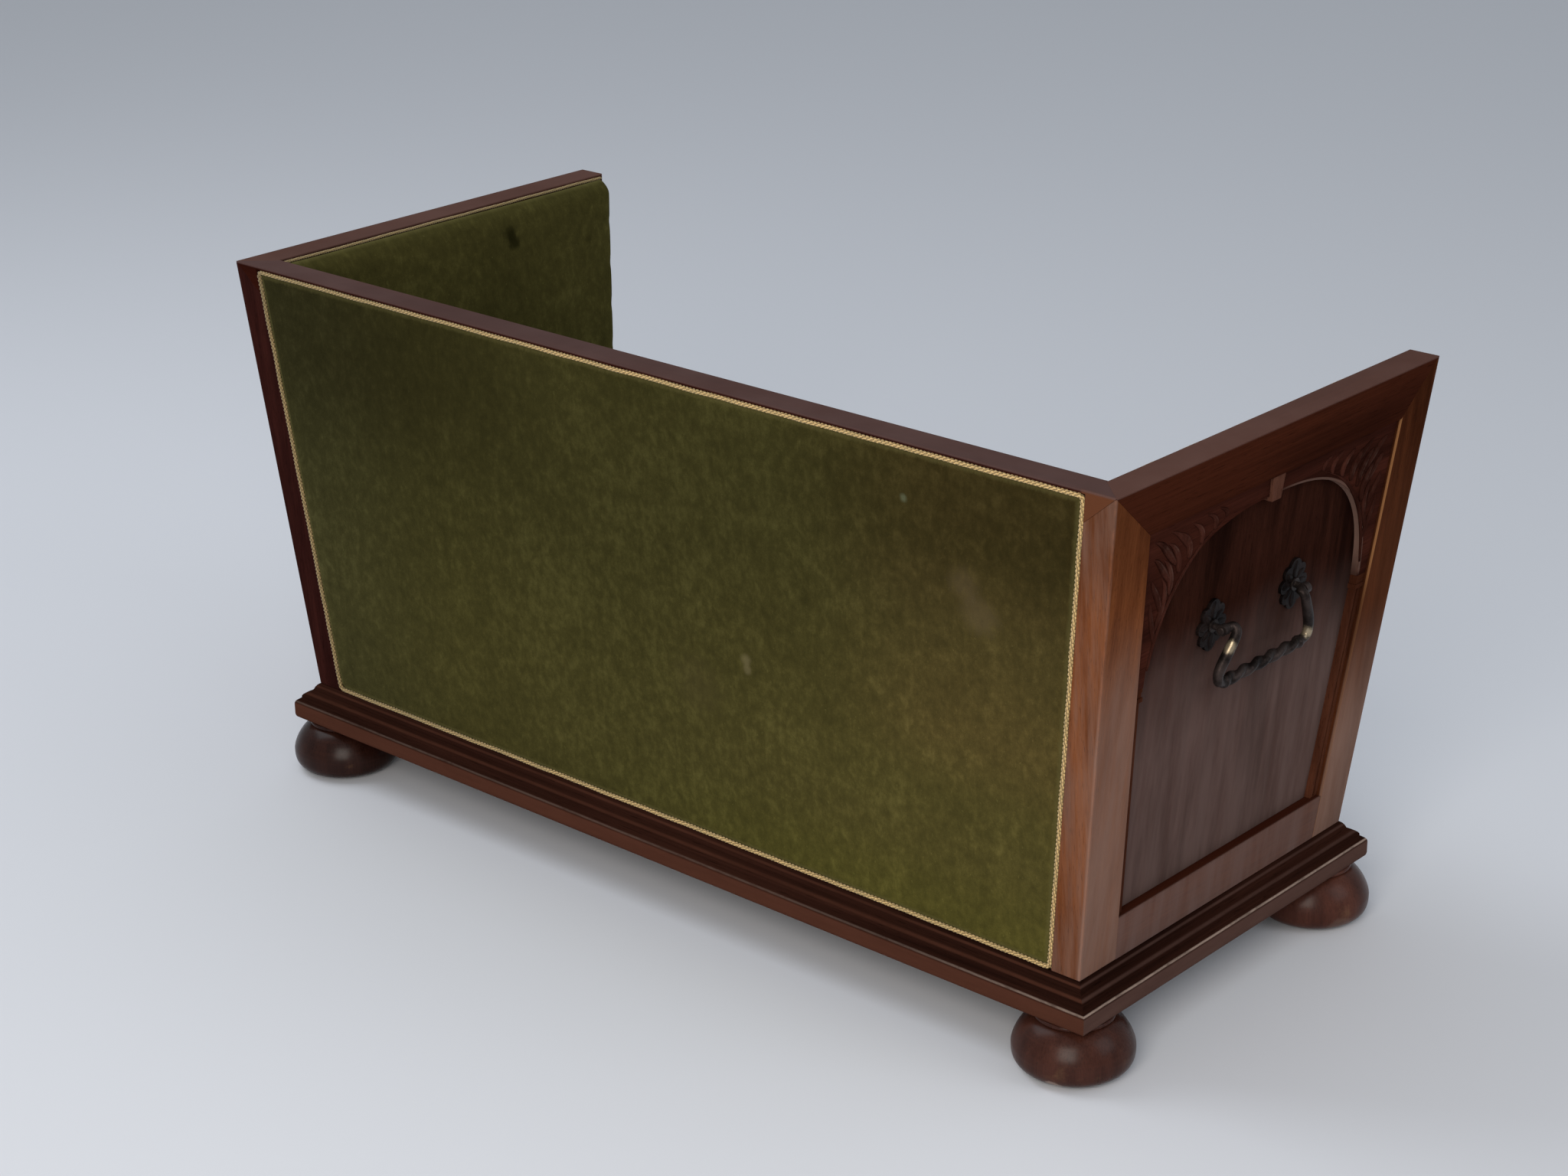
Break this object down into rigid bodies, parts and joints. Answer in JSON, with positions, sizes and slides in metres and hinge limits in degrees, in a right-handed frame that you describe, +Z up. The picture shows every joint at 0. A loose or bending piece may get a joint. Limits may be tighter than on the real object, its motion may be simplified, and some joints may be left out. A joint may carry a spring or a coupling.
{
  "type": "two_seater_sofa",
  "caption": "Small traditional two-seater box sofa: flared mahogany case on bun feet, arched arm panels with drop handles, olive velour with twisted gimp.",
  "frame": {"origin": "on the floor, under the middle of the outline", "axes": "+X along the length of the sofa, +Y towards its back (it faces -Y), +Z up"},
  "size_m": [1.42, 0.649, 0.723],
  "materials": {
    "mahogany": "satin lacquered mahogany, worn at the edges",
    "dark_mahogany": "dark stained mahogany, semi-gloss lacquer",
    "beech": "raw planed beech",
    "velour": "olive green cut pile with nap streaks",
    "gimp": "ochre two-strand twisted cord",
    "patinated_iron": "dark patina, bright where hands rub",
    "jute": "plain woven jute",
    "spring_steel": "dull drawn wire",
    "cambric": "black dust cloth"
  },
  "bodies": {
    "sofa": {"foot_back_left": "dark_mahogany", "foot_back_right": "dark_mahogany", "foot_front_left": "dark_mahogany", "foot_front_right": "dark_mahogany", "foot_dowels": "beech", "plinth_back": "dark_mahogany", "plinth_front": "dark_mahogany", "plinth_left": "dark_mahogany", "plinth_right": "dark_mahogany", "corner_blocks": "beech", "back_post_left": "mahogany", "front_post_left": "mahogany", "arm_top_rail_left": "mahogany", "arm_bottom_rail_left": "mahogany", "back_post_right": "mahogany", "front_post_right": "mahogany", "arm_top_rail_right": "mahogany", "arm_bottom_rail_right": "mahogany", "spandrel_back_left": "mahogany", "spandrel_front_left": "mahogany", "field_panel_left": "mahogany", "keystone_left": "mahogany", "spandrel_back_right": "mahogany", "spandrel_front_right": "mahogany", "field_panel_right": "mahogany", "keystone_right": "mahogany", "pilasters_left": "mahogany", "carvings_left": "mahogany", "pilasters_right": "mahogany", "carvings_right": "mahogany", "handle_plates_left": "patinated_iron", "handle_posts_left": "patinated_iron", "handle_plates_right": "patinated_iron", "handle_posts_right": "patinated_iron", "back_top_rail": "mahogany", "back_bottom_rail": "beech", "back_uprights": "beech", "back_panel": "velour", "back_gimp": "gimp", "back_pad": "velour", "back_pad_gimp": "gimp", "arm_pad_left": "velour", "arm_gimp_left": "gimp", "arm_pad_right": "velour", "arm_gimp_right": "gimp", "front_apron": "mahogany", "seat_rail_front": "beech", "seat_rail_back": "beech", "seat_rail_left": "beech", "seat_rail_right": "beech", "seat_stretcher": "beech", "webbing_long": "jute", "webbing_cross": "jute", "seat_springs": "spring_steel", "seat_hessian": "jute", "seat_pad": "velour", "seat_gimp": "gimp", "dust_cover": "cambric"},
    "handle_left": {"bail_left": "patinated_iron"},
    "handle_right": {"bail_right": "patinated_iron"}
  },
  "joints": [
    {"name": "handle_left_swing", "type": "hinge", "parent": "sofa", "child": "handle_left", "pos_m": [-0.69163, -0.0042, 0.498], "axis": [0, 1, 0], "range_deg": [-14, 130]},
    {"name": "handle_right_swing", "type": "hinge", "parent": "sofa", "child": "handle_right", "pos_m": [0.69163, -0.0042, 0.498], "axis": [0, -1, 0], "range_deg": [-14, 130]}
  ]
}
